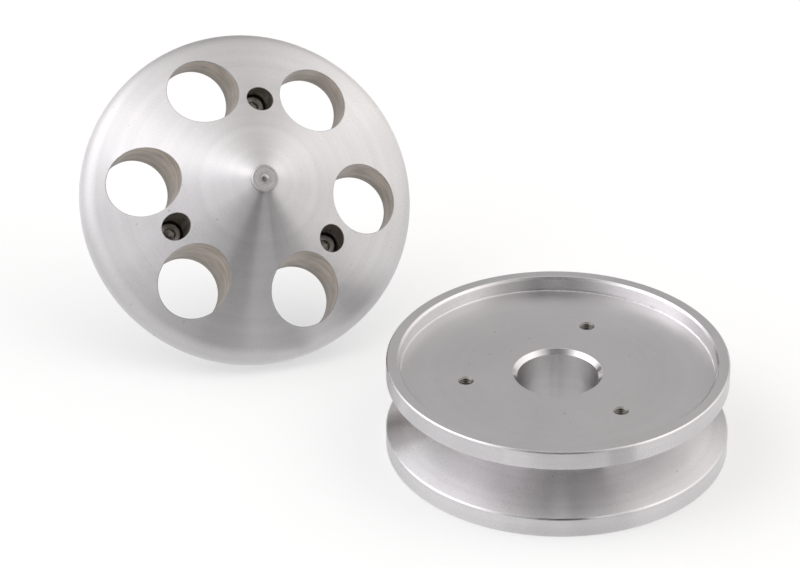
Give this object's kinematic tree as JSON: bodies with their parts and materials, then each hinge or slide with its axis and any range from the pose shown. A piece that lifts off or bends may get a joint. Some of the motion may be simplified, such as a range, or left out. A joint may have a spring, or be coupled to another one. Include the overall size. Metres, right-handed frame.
{
  "type": "supercharger drive pulley",
  "caption": "Turned V-belt drive pulley for a supercharger, lying flat, with its conical drilled nose cover and cover screws standing beside it.",
  "frame": {"origin": "pulley axis at the pulley's back face, which the part stands on", "axes": "+Z along the pulley axis towards the recess that takes the cover, -Y towards the side the nose of the cover points to"},
  "size_m": [0.1467, 0.1209, 0.0616],
  "materials": {
    "pulley_aluminium": "fine turned, satin",
    "cover_aluminium": "turned, satin, with concentric tool marks",
    "screw_steel": "plain stainless, rolled thread"
  },
  "bodies": {
    "pulley": {"pulley": "pulley_aluminium"},
    "cover": {"cover": "cover_aluminium"},
    "screw_1": {"screw_1": "screw_steel"},
    "screw_2": {"screw_2": "screw_steel"},
    "screw_3": {"screw_3": "screw_steel"}
  },
  "joints": [
    {"name": "cover_lift", "type": "slide", "parent": "pulley", "child": "cover", "axis": [0, 0, 1], "range_m": [0, 0.08]},
    {"name": "screw_1_out", "type": "slide", "parent": "cover", "child": "screw_1", "axis": [0.2047, -0.7382, 0.6428], "range_m": [0, 0.03]},
    {"name": "screw_2_out", "type": "slide", "parent": "cover", "child": "screw_2", "axis": [0.2047, -0.7382, 0.6428], "range_m": [0, 0.03]},
    {"name": "screw_3_out", "type": "slide", "parent": "cover", "child": "screw_3", "axis": [0.2047, -0.7382, 0.6428], "range_m": [0, 0.03]}
  ]
}
